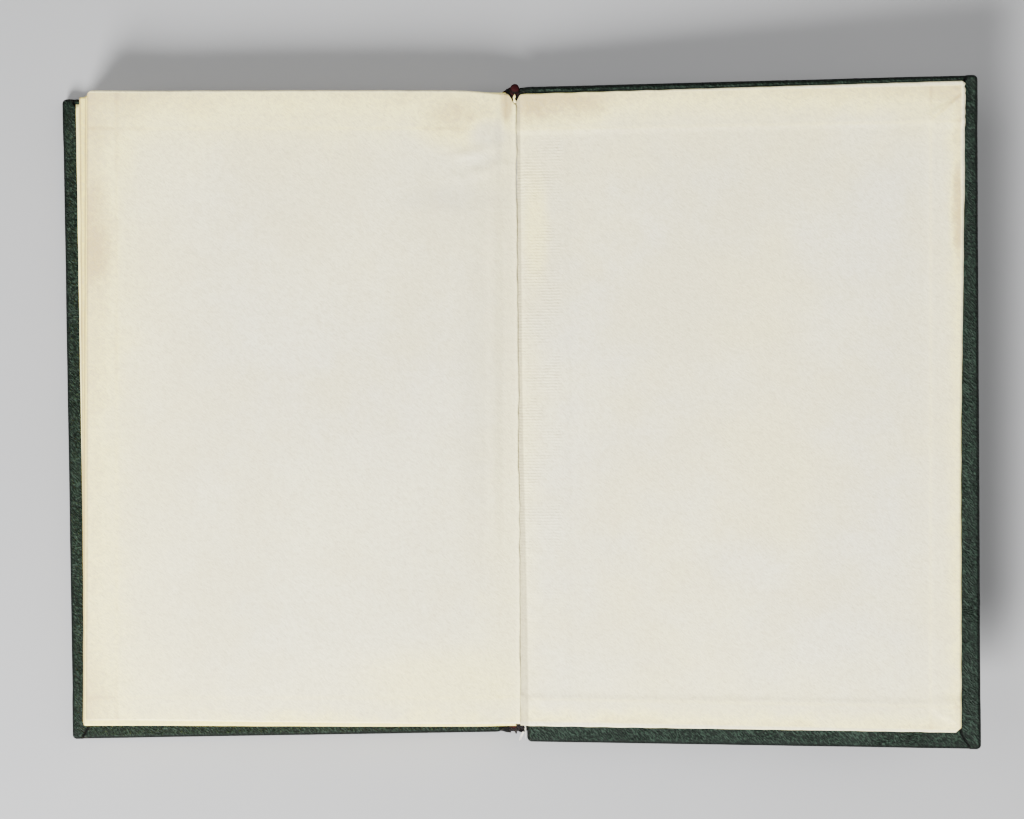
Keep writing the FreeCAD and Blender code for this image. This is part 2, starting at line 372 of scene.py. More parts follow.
def pastedownMaterial(low, high):
    # low and high are the sheet's corners as it lies at rest
    tones = pasteTone
    maker, fibres, felt, clouds, specks = paperBase("endpaperBack")
    left, right = maker.x - low.x, high.x - maker.x
    tail, head = maker.y - low.y, high.y - maker.y
    ragged = (maker.noise(0.007, 4) - 0.5) * 0.008
    rim = maker.fade(tail + ragged, tones["rimTail"], 0.0)
    rim = rim.most(maker.fade(head + ragged, tones["rimHead"], 0.001))
    rim = rim.most(maker.fade(right + ragged, tones["rimFore"], 0.001) * 0.8)
    nearGutter = maker.fade(left + ragged, tones["gutterWidth"], 0.0) * tones["gutterTone"]
    aged = maker.fade(head, tones["agedHead"], 0.0) * 0.35 + maker.fade(right, tones["agedFore"], 0.0) * 0.35
    aged = aged + maker.fade(tail, tones["agedTail"], 0.0) * 0.22
    stains = marked(maker, low, high, pasteMarks) * (0.8 + felt * 1.1)
    blotches = maker.fade(maker.noise(tones["blotchSize"], 3), 0.42, 0.72) * tones["blotch"]
    ghost = turnInGhost(maker, low, high) * tones["ghost"]
    tone = rim * tones["rim"] + aged + nearGutter + stains + ghost + blotches
    tone = tone * maker.fade(tail.least(head).least(right), 0.0006, 0.0014, 0.1, 1.0)
    colour = paperColour(maker, fibres, felt, clouds, specks, tone)
    ribs = maker.node("ShaderNodeTexWave", {"wave_type": "BANDS", "bands_direction": "Y"}, {
        "Vector": maker.place, "Scale": tones["ribScale"], "Distortion": 1.6, "Detail": 2.0,
        "Detail Scale": 1.4})["Fac"]
    mull = maker.fade(left, 0.0150, 0.0125) * maker.fade(head, 0.012, 0.020) * maker.fade(tail, 0.02, 0.08)
    mull = mull * maker.fade(maker.noise(0.012, 3), 0.35, 0.6)
    colour = maker.mix(ribs * mull * 0.10, colour, tones["ribShade"])
    # painted shade in the groove beside the gutter crack, widening towards the tail
    groove = maker.x - (gutter + crack["offset"]) + maker.y * crack["slope"]
    grooveEnd = maker.fade(maker.y, 0.02, -0.09, tones["grooveNarrow"], tones["grooveWide"])
    grime = maker.fade(groove / grooveEnd, 1.10, 0.80) * (0.45 + felt * 0.55)
    colour = maker.mix(grime, colour, tones["grime"])
    relief = fibres * 0.30 + felt * 0.35 + ribs * mull * (0.05 + felt * 0.20)
    return maker.finish(colour, paper["roughness"] - 0.06 + felt * 0.14, relief, tones["relief"])


leafTone = dict(
    rimFore=0.020, rimHead=0.021, rimTail=0.007, rim=0.65, agedFore=0.050, agedHead=0.040, agedTail=0.040,
    gutterWidth=0.020, gutterTone=0.20, lineFore=0.0098, lineHead=0.0125, lineTail=0.0088, lineWidth=0.0012,
    line=1.6, foxing=0.16, mend=0.85, hollow=(0.50, 0.46, 0.33), blotch=0.22, relief=0.00036)
leafMarks = dict(
    foreStain=(0.003, -0.048, 0.010, 0.028, 0.40), tailStain=(-0.026, 0.014, 0.036, 0.016, 0.34),
    headStain=(-0.020, -0.012, 0.018, 0.012, 0.36), foldStain=(-0.0035, -0.004, 0.003, 0.010, 0.60))
leafMends = dict(patch=(-0.0095, -0.0145, 0.009, 0.0075, 1.0), strip=(-0.0125, -0.0225, 0.010, 0.004, 0.7))
# soft painted shade where the leaf hollows and creases beside the gutter: x, y, width, height, strength
leafShadeSpots = dict(crumple=(-0.020, -0.036, 0.026, 0.006, 0.30), valley=(-0.012, -0.100, 0.010, 0.080, 0.22),
                   fold=(-0.006, -0.016, 0.002, 0.016, 0.35))


def flyleafMaterial(low, high):
    tones = leafTone
    maker, fibres, felt, clouds, specks = paperBase("endpaperLeaf")
    left, right = maker.x - low.x, high.x - maker.x
    tail, head = maker.y - low.y, high.y - maker.y
    ragged = (maker.noise(0.010, 4) - 0.5) * 0.014
    rim = maker.fade(left + ragged, tones["rimFore"], 0.0)
    rim = rim.most(maker.fade(head + ragged, tones["rimHead"], 0.0) * 0.9)
    rim = rim.most(maker.fade(tail + ragged, tones["rimTail"], 0.0) * 0.8)
    stains = marked(maker, low, high, leafMarks) * (0.8 + felt * 1.1)
    nearGutter = maker.fade(right + ragged * 1.5, tones["gutterWidth"], 0.004) * tones["gutterTone"]
    aged = maker.fade(left, tones["agedFore"], 0.0) * 0.40 + maker.fade(head, tones["agedHead"], 0.0) * 0.40
    aged = aged + maker.fade(tail, tones["agedTail"], 0.0) * 0.25
    lines = maker.band(maker.x, low.x + tones["lineFore"], tones["lineWidth"]) * 0.12
    lines = lines.most(maker.band(maker.y, high.y - tones["lineHead"], tones["lineWidth"]) * 0.12)
    lines = lines.most(maker.band(maker.y, low.y + tones["lineTail"], tones["lineWidth"]) * 0.10)
    foxing = maker.fade(maker.noise(0.011, 4, 0.7), 0.58, 0.8) * tones["foxing"]
    mend = marked(maker, low, high, leafMends, together=False)
    tone = rim * tones["rim"] + aged + stains + nearGutter + lines * tones["line"] + foxing
    blotches = maker.fade(maker.noise(0.06, 3), 0.42, 0.72) * tones["blotch"]
    tone = tone * (1 - mend * tones["mend"]) + blotches
    tone = tone * maker.fade(tail.least(head), 0.0002, 0.0009, 0.1, 1.0)
    colour = paperColour(maker, fibres, felt, clouds, specks, tone)
    hollowShade = marked(maker, low, high, leafShadeSpots, together=False)  # painted shade in the hollows and creases beside the gutter
    colour = maker.mix(hollowShade * (0.7 + felt * 0.6), colour, tones["hollow"])
    # painted shade line along the flyleaf's fore edge and, more faintly, its ends
    handled = edgeShadeLine(maker, (low.x, -0.001, low.y, high.y))
    colour = maker.mix(handled * (0.3 + felt * 0.7), colour, paper["handled"])
    relief = fibres * 0.30 + felt * 0.30 + maker.noise(0.004, 3) * 0.30
    return maker.finish(colour, paper["roughness"] - 0.04 + felt * 0.12, relief, tones["relief"])


edgeShape = dict(foreWide=0.00070, endWide=0.00050, inner=0.00020, endShare=0.35)


def edgeShadeLine(maker, edges):
    # a thin line of painted shade along a leaf's fore, tail and head edges, as between stacked leaves: x at
    # mid-height, its slant, y and y
    foreX, slant, tailY, headY = edges
    middle = (tailY + headY) / 2
    fromFore = maker.x - foreX + (maker.y - middle) * slant
    nearEnd = (maker.y - tailY).least(headY - maker.y)
    fore = maker.fade(fromFore, edgeShape["foreWide"], edgeShape["inner"])
    ends = maker.fade(nearEnd, edgeShape["endWide"], edgeShape["inner"])
    return fore.most(ends * edgeShape["endShare"])


# line and its colour paint a shade line along a leaf's edges
page = dict(layer=0.00022, layerLong=0.04, line=0.85, lineColour=(0.34, 0.25, 0.10), relief=0.00012)


def pageMaterial(name, tone, edges=None):
    # leaves: fine layers at the edges, yellowed, with a painted shade line along the edges when edges are given
    maker, fibres, felt, clouds, specks = paperBase(name)
    flattened = maker.moved(maker.place, Scale=(page["layerLong"], page["layerLong"], 1))
    layers = maker.node("ShaderNodeTexNoise", {}, {
        "Vector": flattened, "Scale": 1 / page["layer"], "Detail": 2.0, "Roughness": 0.5})["Fac"]
    toning = maker.noise(0.02, 3) * 0.30 + layers * 0.35 + tone
    colour = paperColour(maker, fibres, felt, clouds, specks, toning, paper["edge"])
    if edges:
        colour = maker.mix(edgeShadeLine(maker, edges) * page["line"], colour, page["lineColour"])
    return maker.finish(colour, 0.76 + felt * 0.12, layers * 0.5 + felt * 0.4, page["relief"])


# deep and light are painted shade and painted highlight on the grain; shadow is painted shade on the folded
# edges and tab seams
cloth = dict(
    shadow=(0.0004, 0.0012, 0.0007), deep=(0.0012, 0.0048, 0.0022), body=(0.0040, 0.0115, 0.0060),
    light=(0.0190, 0.0350, 0.0240), worn=(0.045, 0.042, 0.030), wrinkle=0.00034, wrinkleLong=3.4,
    wrinkleTurn=-0.86, crossing=1.2, crossingLong=2.2, crossingTurn=-0.25, sway=0.010, pebble=0.0005,
    pore=0.00018, cloud=0.014, scuff=0.0012, roughness=0.40, shine=0.13, relief=0.0018, tabNear=0.0062,
    tabTip=0.0036, tabEnd=0.0064, tabLine=0.00060, tabStrength=1.8, cornerReach=0.012)


def tabSeam(maker, fromFore, along):
    # the line where the fore turn-in's end lies over the other turn-ins, a mask for the painted shadow along
    # the tab's edge
    line = maker.fade(along, 0.0, cloth["tabNear"], cloth["tabTip"], cloth["tabEnd"])
    seam = maker.band(fromFore, line, cloth["tabLine"]) * maker.fade(along, 0.009, 0.008)
    return (seam * cloth["tabStrength"]).least(1.0)


def leatherMaterial(name, place, low, high, tint, radius=0.0012, seam=0):
    # grained coated cloth with diagonal wrinkles, painted shade in the grain's valleys and painted highlight on
    # its ridges, painted shade along its folded edge and the tab seams, and rubbed at its corners
    maker = Maker(name, place, Specular_IOR_Level=cloth["shine"])
    deep, body, light = tint
    wrinkles = maker.noise(cloth["wrinkle"], 2, 0.5, long=cloth["wrinkleLong"],
                           turn=cloth["wrinkleTurn"], distortion=0.15)
    crossing = maker.noise(cloth["wrinkle"] * cloth["crossing"], 2, 0.5, long=cloth["crossingLong"],
                           turn=cloth["crossingTurn"], distortion=0.2)
    choice = maker.fade(maker.noise(cloth["sway"], 2), 0.30, 0.42)
    grain = wrinkles * choice + crossing * (1 - choice)
    pebbles = maker.cells(cloth["pebble"], long=1.4, turn=cloth["wrinkleTurn"])
    pores = maker.noise(cloth["pore"], 2, 0.6)
    clouds = maker.noise(cloth["cloud"], 4, 0.65)
    across = (maker.x - low.x).least(high.x - maker.x)
    along = (maker.y - low.y).least(high.y - maker.y)
    edge = across.least(along)
    # the grain's valleys are painted darker and its ridges lighter: painted shade and painted highlight on the
    # grain relief
    ridges = maker.fade(grain - pebbles * 0.08, 0.42, 0.52)
    colour = maker.mix(ridges, deep, body)
    colour = maker.mix(maker.fade(grain, 0.51, 0.61) * maker.fade(clouds, 0.15, 0.50), colour, light)
    colour = maker.mix(maker.fade(clouds, 0.5, 0.75) * 0.25, colour, light)
    # painted shade along the rounded folded edge and the tab seam, mixed towards the shadow colour
    folded = maker.fade(edge, radius * 1.1, radius * 0.5) * 0.8
    if seam:
        fromFore = (high.x - maker.x) if seam > 0 else (maker.x - low.x)
        folded = folded.most(tabSeam(maker, fromFore, along))
    colour = maker.mix(folded, colour, cloth["shadow"])
    scuffs = maker.noise(cloth["scuff"], 5, 0.75)
    corner = maker.fade(across.most(along), cloth["cornerReach"], 0.001)
    corner = corner * maker.fade(edge, radius * 2.2, radius * 0.6)
    rubbed = (corner * 0.9).most(maker.fade(edge, radius, 0.0) * 0.45) * maker.fade(scuffs, 0.56, 0.70)
    colour = maker.mix(rubbed * 0.8, colour, cloth["worn"])
    roughness = cloth["roughness"] + clouds * 0.14 + rubbed * 0.2 - ridges * 0.06 + pores * 0.05
    relief = grain * 0.85 - pebbles * 0.12 + pores * 0.05 - folded * 0.3
    return maker.finish(colour, roughness + folded * 0.4, relief, cloth["relief"])


weave = dict(shine=0.2, cloud=0.012, aged=0.35)


def weaveMaterial(name, colour, shade, pitch, depth, openings=False):
    # plain weave of threads of a given pitch
    maker = Maker(name, Specular_IOR_Level=weave["shine"])
    turns = 2 * math.pi / pitch
    warp = (maker.x * turns).maths("SINE") * 0.5 + 0.5
    weft = (maker.y * turns).maths("SINE") * 0.5 + 0.5
    threads = warp.most(weft) if openings else warp * weft + (1 - warp) * (1 - weft)
    fuzz = maker.noise(pitch * 0.6, 3, 0.6)
    mixed = maker.mix(maker.fade(threads + fuzz * 0.4, 0.2, 1.1), shade, colour)
    clouds = maker.noise(weave["cloud"], 3)
    aged = maker.mix(maker.fade(clouds, 0.4, 0.8) * weave["aged"], mixed, shade)
    return maker.finish(aged, 0.78 + fuzz * 0.18, threads + fuzz * 0.3, depth)


silk = dict(valley=(0.0024, 0.0005, 0.0006), thread=(0.0180, 0.0018, 0.0025), rubbed=(0.050, 0.018, 0.016),
            pitch=0.0009, slant=0.25, fuzz=0.0003, shine=0.08, relief=0.00022)


def bandMaterial():
    # end band: two threads wound over a core, rubbed at its top
    maker = Maker("bandSilk", Specular_IOR_Level=silk["shine"])
    slant = (maker.z + maker.y * silk["slant"]) * (2 * math.pi / silk["pitch"])
    rib = slant.maths("SINE") * 0.5 + 0.5
    fuzz = maker.noise(silk["fuzz"], 3, 0.6)
    colour = maker.mix(maker.fade(rib + fuzz * 0.5, 0.3, 1.1), silk["valley"], silk["thread"])
    colour = maker.mix(maker.fade(fuzz, 0.60, 0.78) * 0.45, colour, silk["rubbed"])
    return maker.finish(colour, 0.70 + fuzz * 0.2, rib + fuzz * 0.5, silk["relief"])


pulpBoard = dict(dark=(0.24, 0.21, 0.17), light=(0.44, 0.40, 0.33), flake=(0.16, 0.14, 0.12), pulp=0.0008,
                 flakePitch=0.0016, relief=0.0002)


def boardMaterial():
    maker = Maker("greyboardPulp", Specular_IOR_Level=0.2)
    pulp = maker.noise(pulpBoard["pulp"], 5, 0.7)
    flakes = maker.fade(maker.cells(pulpBoard["flakePitch"]), 0.3, 0.1)
    colour = maker.mix(maker.fade(pulp, 0.3, 0.7), pulpBoard["dark"], pulpBoard["light"])
    colour = maker.mix(flakes * 0.4, colour, pulpBoard["flake"])
    return maker.finish(colour, 0.85 + pulp * 0.1, pulp, pulpBoard["relief"])


kraftPaper = dict(dark=(0.22, 0.13, 0.06), light=(0.40, 0.26, 0.14), fibre=0.0006, long=5, relief=0.00012)


def kraftMaterial():
    maker = Maker("kraftPaper", Specular_IOR_Level=0.25)
    fibres = maker.noise(kraftPaper["fibre"], 4, 0.7, long=kraftPaper["long"])
    colour = maker.mix(maker.fade(fibres, 0.3, 0.7), kraftPaper["dark"], kraftPaper["light"])
    return maker.finish(colour, 0.75 + fibres * 0.15, fibres, kraftPaper["relief"])


floorTone = dict(dark=(0.270, 0.272, 0.276), light=(0.300, 0.300, 0.302), size=0.09, relief=0.0001)


def floorMaterial():
    maker = Maker("studioFloor", Specular_IOR_Level=0.15)
    tint = maker.noise(floorTone["size"], 3)
    colour = maker.mix(tint, floorTone["dark"], floorTone["light"])
    return maker.finish(colour, 0.8 + tint * 0.05, tint, floorTone["relief"])


print("stage: materials")
coverShape = dict(
    edgeRound=0.0009, cornerRound=0.0016, turnIn=0.015, step=0.0003, waver=0.00012, waverSize=0.020,
    bead=0.00010, beads=((0.0036, 0.0), (0.0026, 0.6), (0.0020, 1.0), (0.0016, 0.5)), edgeSpread=1.35,
    flats=(0.0018, 0.004, 0.012, 0.050), spineInset=0.0018, spineShare=0.03, shortSide=90, longSide=130,
    cornerSteps=8, edgeSteps=6, backYaw=math.radians(0.30), backReach=0.0007)
tabShape = dict(
    rise=0.00038, long=0.0165, tip=0.0036, widen=0.0028, near=0.0062, full=0.0135, ripple=0.00018,
    rippleTurns=2600, thick=0.00036, gap=0.0001, sink=0.00012, uneven=0.00002, frontStart=0.0030,
    frontEnd=0.0037, frontNear=0.0026, frontFar=0.0036, liftSoft=0.0014)
tints = dict(green=(cloth["deep"], cloth["body"], cloth["light"]),
             brown=((0.0016, 0.0010, 0.0010), (0.0062, 0.0034, 0.0034), (0.018, 0.010, 0.010)))
frontLow, frontHigh = localBox("front_cover_cloth", frontPlace)
backLow, backHigh = localBox("back_cover_cloth", backPlace)
backMiddle = (backLow + backHigh) / 2
backTurn = (Matrix.Translation(backMiddle) @ Matrix.Rotation(coverShape["backYaw"], 4, "Z")
            @ Matrix.Translation(-backMiddle))
backLow.x -= coverShape["backReach"]
backFrame = backPlace @ backTurn
frontCloth = leatherMaterial("leatherclothFront", frontPlace, frontLow, frontHigh, tints["green"], seam=-1)
backCloth = leatherMaterial("leatherclothBack", backFrame, backLow, backHigh, tints["green"], seam=1)
jointCloth = leatherMaterial("leatherclothJoint", None, *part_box("spine_cloth"), tints["brown"], radius=0.0002)
pastePaper = pastedownMaterial(pasteLow, pasteHigh)
flyleafPaper = flyleafMaterial(flyleafLow, flyleafHigh)
leafPaper = pageMaterial("pagePaper", 0.42)
edgePaper = pageMaterial("pagePaperToned", 0.78)
hiddenPaper = pageMaterial("endpaperFront", 0.12)
weaves = dict(
    gauze=dict(colour=(0.62, 0.57, 0.44), shade=(0.36, 0.31, 0.20), pitch=0.0010, depth=0.00025,
               openings=True),
    thread=dict(colour=(0.80, 0.77, 0.66), shade=(0.52, 0.48, 0.38), pitch=0.00030, depth=0.0001))
gauze = weaveMaterial("mullGauze", **weaves["gauze"])
threadFinish = weaveMaterial("linenThread", **weaves["thread"])
bandFinish = bandMaterial()
greyboard = boardMaterial()
kraft = kraftMaterial()

carried = {"front_mull_wing": gauze, "back_mull_wing": gauze, "mull": gauze, "sewing_thread": threadFinish}
for node, material in carried.items():
    carriedMesh = frame["nodes"][node].data
    carriedMesh.materials.clear()
    carriedMesh.materials.append(material)


def outlineReach(x, y, low, high, radius):
    # how far a point lies inside a rectangle with rounded corners
    across, along = min(x - low.x, high.x - x), min(y - low.y, high.y - y)
    if across < radius and along < radius:
        return radius - math.hypot(radius - across, radius - along)
    return min(across, along)


def roundedOutline(low, high, radius, inset, fore):
    # points round a rectangle, counter-clockwise from the tail edge, always the same number;
    # the turned-in cloth ends at the spine side, so the window there runs almost to the edge
    narrow = coverShape["spineInset"]
    spineInset = inset if inset < narrow else narrow + (inset - narrow) * coverShape["spineShare"]
    leftInset, rightInset = (spineInset, inset) if fore > 0 else (inset, spineInset)
    radius = max(radius - inset, 0.0002)
    left, right = low.x + leftInset, high.x - rightInset
    tail, head = low.y + inset, high.y - inset
    centres = [(right - radius, tail + radius, -90), (right - radius, head - radius, 0),
               (left + radius, head - radius, 90), (left + radius, tail + radius, 180)]
    starts = [(left + radius, tail), (right, tail + radius), (right - radius, head), (left, head - radius)]
    points = []
    cornerSteps = coverShape["cornerSteps"]
    for side, (start, (centreX, centreY, angle)) in enumerate(zip(starts, centres)):
        count = coverShape["shortSide"] if side % 2 == 0 else coverShape["longSide"]
        stop = (centreX + radius * math.cos(math.radians(angle)),
                centreY + radius * math.sin(math.radians(angle)))
        points += [(start[0] + (stop[0] - start[0]) * step / count,
                    start[1] + (stop[1] - start[1]) * step / count) for step in range(count)]
        for turn in range(cornerSteps):
            bearing = math.radians(angle + 90 * turn / cornerSteps)
            points.append((centreX + radius * math.cos(bearing), centreY + radius * math.sin(bearing)))
    return points


def coverShell(low, high, fore):
    # a closed rounded slab whose upper face steps down inside the turn-ins
    shape = coverShape
    edge, turnIn, steps, flats = shape["edgeRound"], shape["turnIn"], shape["edgeSteps"], shape["flats"]
    sunk = high.z - shape["step"]
    quarter = [math.radians(90 * step / steps) for step in range(steps + 1)]
    profile = [(flats[-1], sunk), (turnIn + 0.0004, sunk), (turnIn, high.z), (0.010, high.z), (0.006, high.z)]
    profile += [(inset, high.z - shape["bead"] * share) for inset, share in shape["beads"]]
    profile += [(edge * shape["edgeSpread"] * (1 - math.sin(angle)), high.z - edge * (1 - math.cos(angle)))
                for angle in quarter]
    profile += [(edge * (1 - math.cos(angle)), low.z + edge * (1 - math.sin(angle))) for angle in quarter]
    profile += [(inset, low.z) for inset in flats]
    points, rings = [], []
    middle = (low + high) / 2
    for inset, level in profile:
        ring = []
        for x, y in roundedOutline(low, high, shape["cornerRound"], inset, fore):
            near = smoothStep(inset, 0.02, 0.001)
            push = shape["waver"] * abs(wander(x, y, shape["waverSize"], fore * 3)) * near
            inward = Vector((middle.x - x, middle.y - y)).normalized()
            ring.append(len(points))
            points.append((x + inward.x * push, y + inward.y * push, level))
        rings.append(ring)
    faces = []
    for outer, inner in zip(rings, rings[1:]):
        for here in range(len(outer)):
            there = (here + 1) % len(outer)
            faces.append([outer[here], inner[here], inner[there], outer[there]])
    faces.append(rings[0])
    faces.append(rings[-1][::-1])
    return points, faces


def tabWidth(near):
    # how wide the turned-over end of the fore turn-in is, at a distance from the head or tail edge
    shape = tabShape
    ripple = shape["ripple"] * math.sin(near * shape["rippleTurns"])
    tip = shape["tip"] + shape["widen"] * smoothStep(near, 0.0, shape["near"]) + ripple
    return tip + (coverShape["turnIn"] - tip) * smoothStep(near, shape["near"], shape["full"])


def cornerTab(low, high, fore, end):
    # the fore turn-in's end, folded over the turn-in of the head or the tail
    edge, corner, shape = coverShape["edgeRound"], coverShape["cornerRound"], tabShape

    def spot(u, v):
        near = shape["gap"] + v * shape["long"]
        y = high.y - near if end > 0 else low.y + near
        curve = corner - math.sqrt(max(corner ** 2 - max(corner - near, 0) ** 2, 0))
        far = curve + shape["gap"] + (tabWidth(near) - curve - shape["gap"]) * u
        return ((high.x - far) if fore > 0 else (low.x + far)), y

    def top(x, y, u, v):
        reach = max(outlineReach(x, y, low, high, corner), 0)
        drop = edge - math.sqrt(max(edge ** 2 - (edge - reach) ** 2, 0)) if reach < edge else 0.0
        rise = shape["rise"] * (1 - v ** 6) - shape["sink"] * v ** 6
        if fore < 0:
            # the front cover's paper lies over the tab
            near = smoothStep(min(y - low.y, high.y - y), shape["frontNear"], shape["frontFar"])
            rise *= 1 - 0.95 * smoothStep(x - low.x, shape["frontStart"], shape["frontEnd"]) * near
        rounded = smoothStep(1 - u, 0.0, 0.07) * 0.6 + 0.4
        return high.z - drop + rise * rounded + shape["uneven"] * wander(x, y, 0.004)

    across = [0, 0.012, 0.03, 0.06, 0.1, 0.15, 0.22, 0.35, 0.5, 0.7, 0.85, 0.92, 0.95, 0.98, 1]
    if fore * end > 0:
        across = across[::-1]
    return sheetParts(spot, top, across, spread(40, 0.3), shape["thick"])


def tabLift(x, y):
    # how far the paper rises where it passes over the back cover's folded corners
    near = min(y - backLow.y, backHigh.y - y)
    along = smoothStep(near, tabShape["long"] + 0.0012, tabShape["long"] - 0.002)
    soft = tabShape["liftSoft"]
    return tabShape["rise"] * along * smoothStep(tabWidth(near) + soft - (backHigh.x - x), 0.0, soft)


def buildCover(side, fore, low, high, place, material):
    parts = [coverShell(low, high, fore), cornerTab(low, high, fore, 1), cornerTab(low, high, fore, -1)]
    piece = joinParts(f"{side}CoverCloth", parts, material)
    piece.data.transform(place)
    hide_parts(f"{side}_cover_cloth", f"{side}_board")
    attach(piece, f"{side}_cover")


print("stage: covers")
buildCover("front", -1, frontLow, frontHigh, frontPlace, frontCloth)
buildCover("back", 1, backLow, backHigh, backFrame, backCloth)


def crackX(y):
    # the line along the gutter where the endpaper has split, slanting from head to tail
    fine = crack["fine"] * wander(0, y, crack["fineSize"], 2)
    broad = crack["broad"] * wander(0, y, crack["broadSize"], 3)
    return gutter + crack["offset"] - crack["slope"] * y + fine + broad


pasteShape = dict(
    thick=0.00014, lift=0.00006, turnDip=0.00024, dipSoft=0.0020, gutterDrop=0.00066, dropStart=0.0029,
    dropMore=0.0003, dropEnd=-0.0004, wingRise=0.00018, wingX=0.0172, wingY=0.098, underLeaf=0.00060,
    headFlare=0.0014, tailFlare=0.0008, bites=0.0007, foreInset=0.0007, foreWaver=0.00015, endWaver=0.00012,
    endSlope=0.0006, notchWide=0.0027, notchTall=0.0047, tailCut=0.0017, headCut=(0.0008, 0.0010),
    folds=0.00007, foldRate=5200, crinkle=0.00024, crinkleSize=0.0040, curl=0.0002, broad=0.00007,
    fine=0.00005, blendStart=-0.0006, blendEnd=0.0030)
gutterSteps = [0, 0.0015, 0.003, 0.005, 0.0075, 0.010, 0.0125, 0.015, 0.018, 0.022, 0.027]


def pasteLevel(x, y, top):
    # the pastedown's upper level in the back cover's frame
    shape, turnIn = pasteShape, coverShape["turnIn"]
    inside = min(backHigh.x - turnIn - x, y - backLow.y - turnIn, backHigh.y - turnIn - y)
    level = top + shape["lift"] - shape["turnDip"] * smoothStep(inside, -0.0006, shape["dipSoft"] - 0.0006)
    wing = smoothStep(x, shape["wingX"], shape["wingX"] - 0.0012)
    level += shape["wingRise"] * wing * smoothStep(abs(y), shape["wingY"], shape["wingY"] - 0.004)
    start = shape["dropStart"] + shape["dropMore"] * smoothStep(y, 0.0, -0.09)
    return level - shape["gutterDrop"] * smoothStep(x, start, shape["dropEnd"])


def acrossHinge(piece):
    # bakes a piece's placement into its mesh
    backHinge + Vector((pasteShape["blendStart"], 0, 0))
    backHinge + Vector((pasteShape["blendEnd"], 0, 0))
    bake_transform(piece)


def buildBackPastedown():
    low, high = localBox("back_pastedown", backPlace)
    shape = pasteShape

    def spot(u, v):
        y = low.y + v * (high.y - low.y)
        leftX = crackX(y) - backHinge.x - shape["underLeaf"]
        flare = shape["headFlare"] * smoothStep(v, 0.35, 1.0) - shape["tailFlare"] * (1 - v)
        bites = shape["bites"] * smoothStep(v, 0.90, 0.97) * min(wander(3, y, 0.0011, 4), 0)
        rightX = high.x - shape["foreInset"] + flare + shape["foreWaver"] * wander(1, y, 0.006, 4) + bites
        x = leftX + u * (rightX - leftX)
        y += shape["endWaver"] * wander(x, 0, 0.005, 6) * (v - 0.5) * 2 - shape["endSlope"] * (1 - u) * v
        x, y = cutCorner(x, y, leftX, high.y - 0.0006, shape["notchWide"], -shape["notchTall"])
        x, y = cutCorner(x, y, rightX, low.y, -shape["tailCut"], shape["tailCut"])
        return cutCorner(x, y, rightX, high.y, -shape["headCut"][0], -shape["headCut"][1])

    def top(x, y, u, v):
        folds = smoothStep(x, 0.0030, 0.0012) * smoothStep(v, 0.62, 0.30)
        folds *= math.sin(x * shape["foldRate"] + y * 14)
        crinkle = shape["crinkle"] * abs(wander(x, y, shape["crinkleSize"], 12)) * smoothStep(x, 0.018, 0.003)
        level = pasteLevel(x, y, high.z) + tabLift(x, y) + shape["folds"] * folds + crinkle
        curl = smoothStep(x, high.x - 0.004, high.x) * smoothStep(y, high.y - 0.02, high.y)
        uneven = shape["broad"] * wander(x, y, 0.012, 8) + shape["fine"] * wander(x, y, 0.004, 9)
        return level + shape["curl"] * curl + uneven

    across = gutterSteps + [0.033 + 0.967 * step for step in spread(118, 0.25)]
    points, faces = sheetParts(spot, top, across, spread(210, 0.5), shape["thick"])
    piece = makeMesh("backPastedown", points, faces, pastePaper)
    piece.data.transform(backFrame)
    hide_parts("back_pastedown")
    acrossHinge(piece)


hiddenPaste = dict(thick=0.00013, lift=0.00009, waver=0.0001, uneven=0.00002)


def buildFrontPastedown():
    low, high = localBox("front_pastedown", frontPlace)

    def spot(u, v):
        x = low.x + u * (high.x - low.x)
        y = low.y + v * (high.y - low.y)
        waver = hiddenPaste["waver"]
        return x + waver * wander(x, y, 0.01), y + waver * wander(y, x, 0.01)

    def top(x, y, u, v):
        return high.z + hiddenPaste["lift"] + hiddenPaste["uneven"] * wander(x, y, 0.01)

    points, faces = sheetParts(spot, top, spread(60), spread(90), hiddenPaste["thick"])
    piece = makeMesh("frontPastedown", points, faces, hiddenPaper)
    piece.data.transform(frontPlace)
    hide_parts("front_pastedown")
    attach(piece, "front_cover")


print("stage: pastedowns")
buildBackPastedown()
buildFrontPastedown()

leafShape = dict(
    sheet=0.00011, arch=0.0008, archMiddle=0.052, archReach=0.060, archPower=1.6, dip=0.00055,
    dipReach=0.0075, skewLow=0.017, folios=5, jog=0.00035, backStep=0.0010, foldRadius=0.0006,
    trim=0.0004, notchWide=0.0030, notchTall=0.0047, lip=0.00024, foreLift=0.00026, turn=0.0015,
    flyleafTurn=0.0014, leafTurn=0.0005, thin=0.00012, endpaper=0.00014, hingeOut=0.0004, hingeIn=-0.0030)
creases = dict(fold=0.00024, foldAway=0.0042, band=0.00036, bandAway=0.0075, patch=0.00030, patchAway=0.012,
               patchDown=0.024, patchWide=0.016, patchTall=0.012, corner=0.00045, cornerReach=0.013)


def blockShare(level):
    return (level - blockFoot) / (blockTop - blockFoot)


def archRise(x, level):
    # how far a leaf at a level rises or dips at x, growing towards the top of the block
    share = max(blockShare(level), 0.0)
    away = gutter - x
    hump = math.exp(-((away - leafShape["archMiddle"]) / leafShape["archReach"]) ** 2)
    hump *= smoothStep(away, 0.0, 0.022) * smoothStep(away, 0.142, 0.085)
    valley = math.exp(-(away / leafShape["dipReach"]) ** 2)
    return share ** leafShape["archPower"] * (leafShape["arch"] * hump - leafShape["dip"] * valley)


def foreSkew(x, y, level, middle):
    # lower leaves stand further out at the head than at the tail
    share = 1 - max(min(blockShare(level), 1.0), 0.0)
    reach = (gutter - x) / (flyleafHigh.x - flyleafLow.x)
    return -(y - middle) * leafShape["skewLow"] * share * max(reach, 0.0)


def turned(x, share):
    # how far the leaves under the flyleaf have slid towards the tail, more at the head than at the tail
    return leafShape["turn"] * max((gutter - x) / (gutter - flyleafLow.x), 0.0) * (0.2 + 0.8 * share)


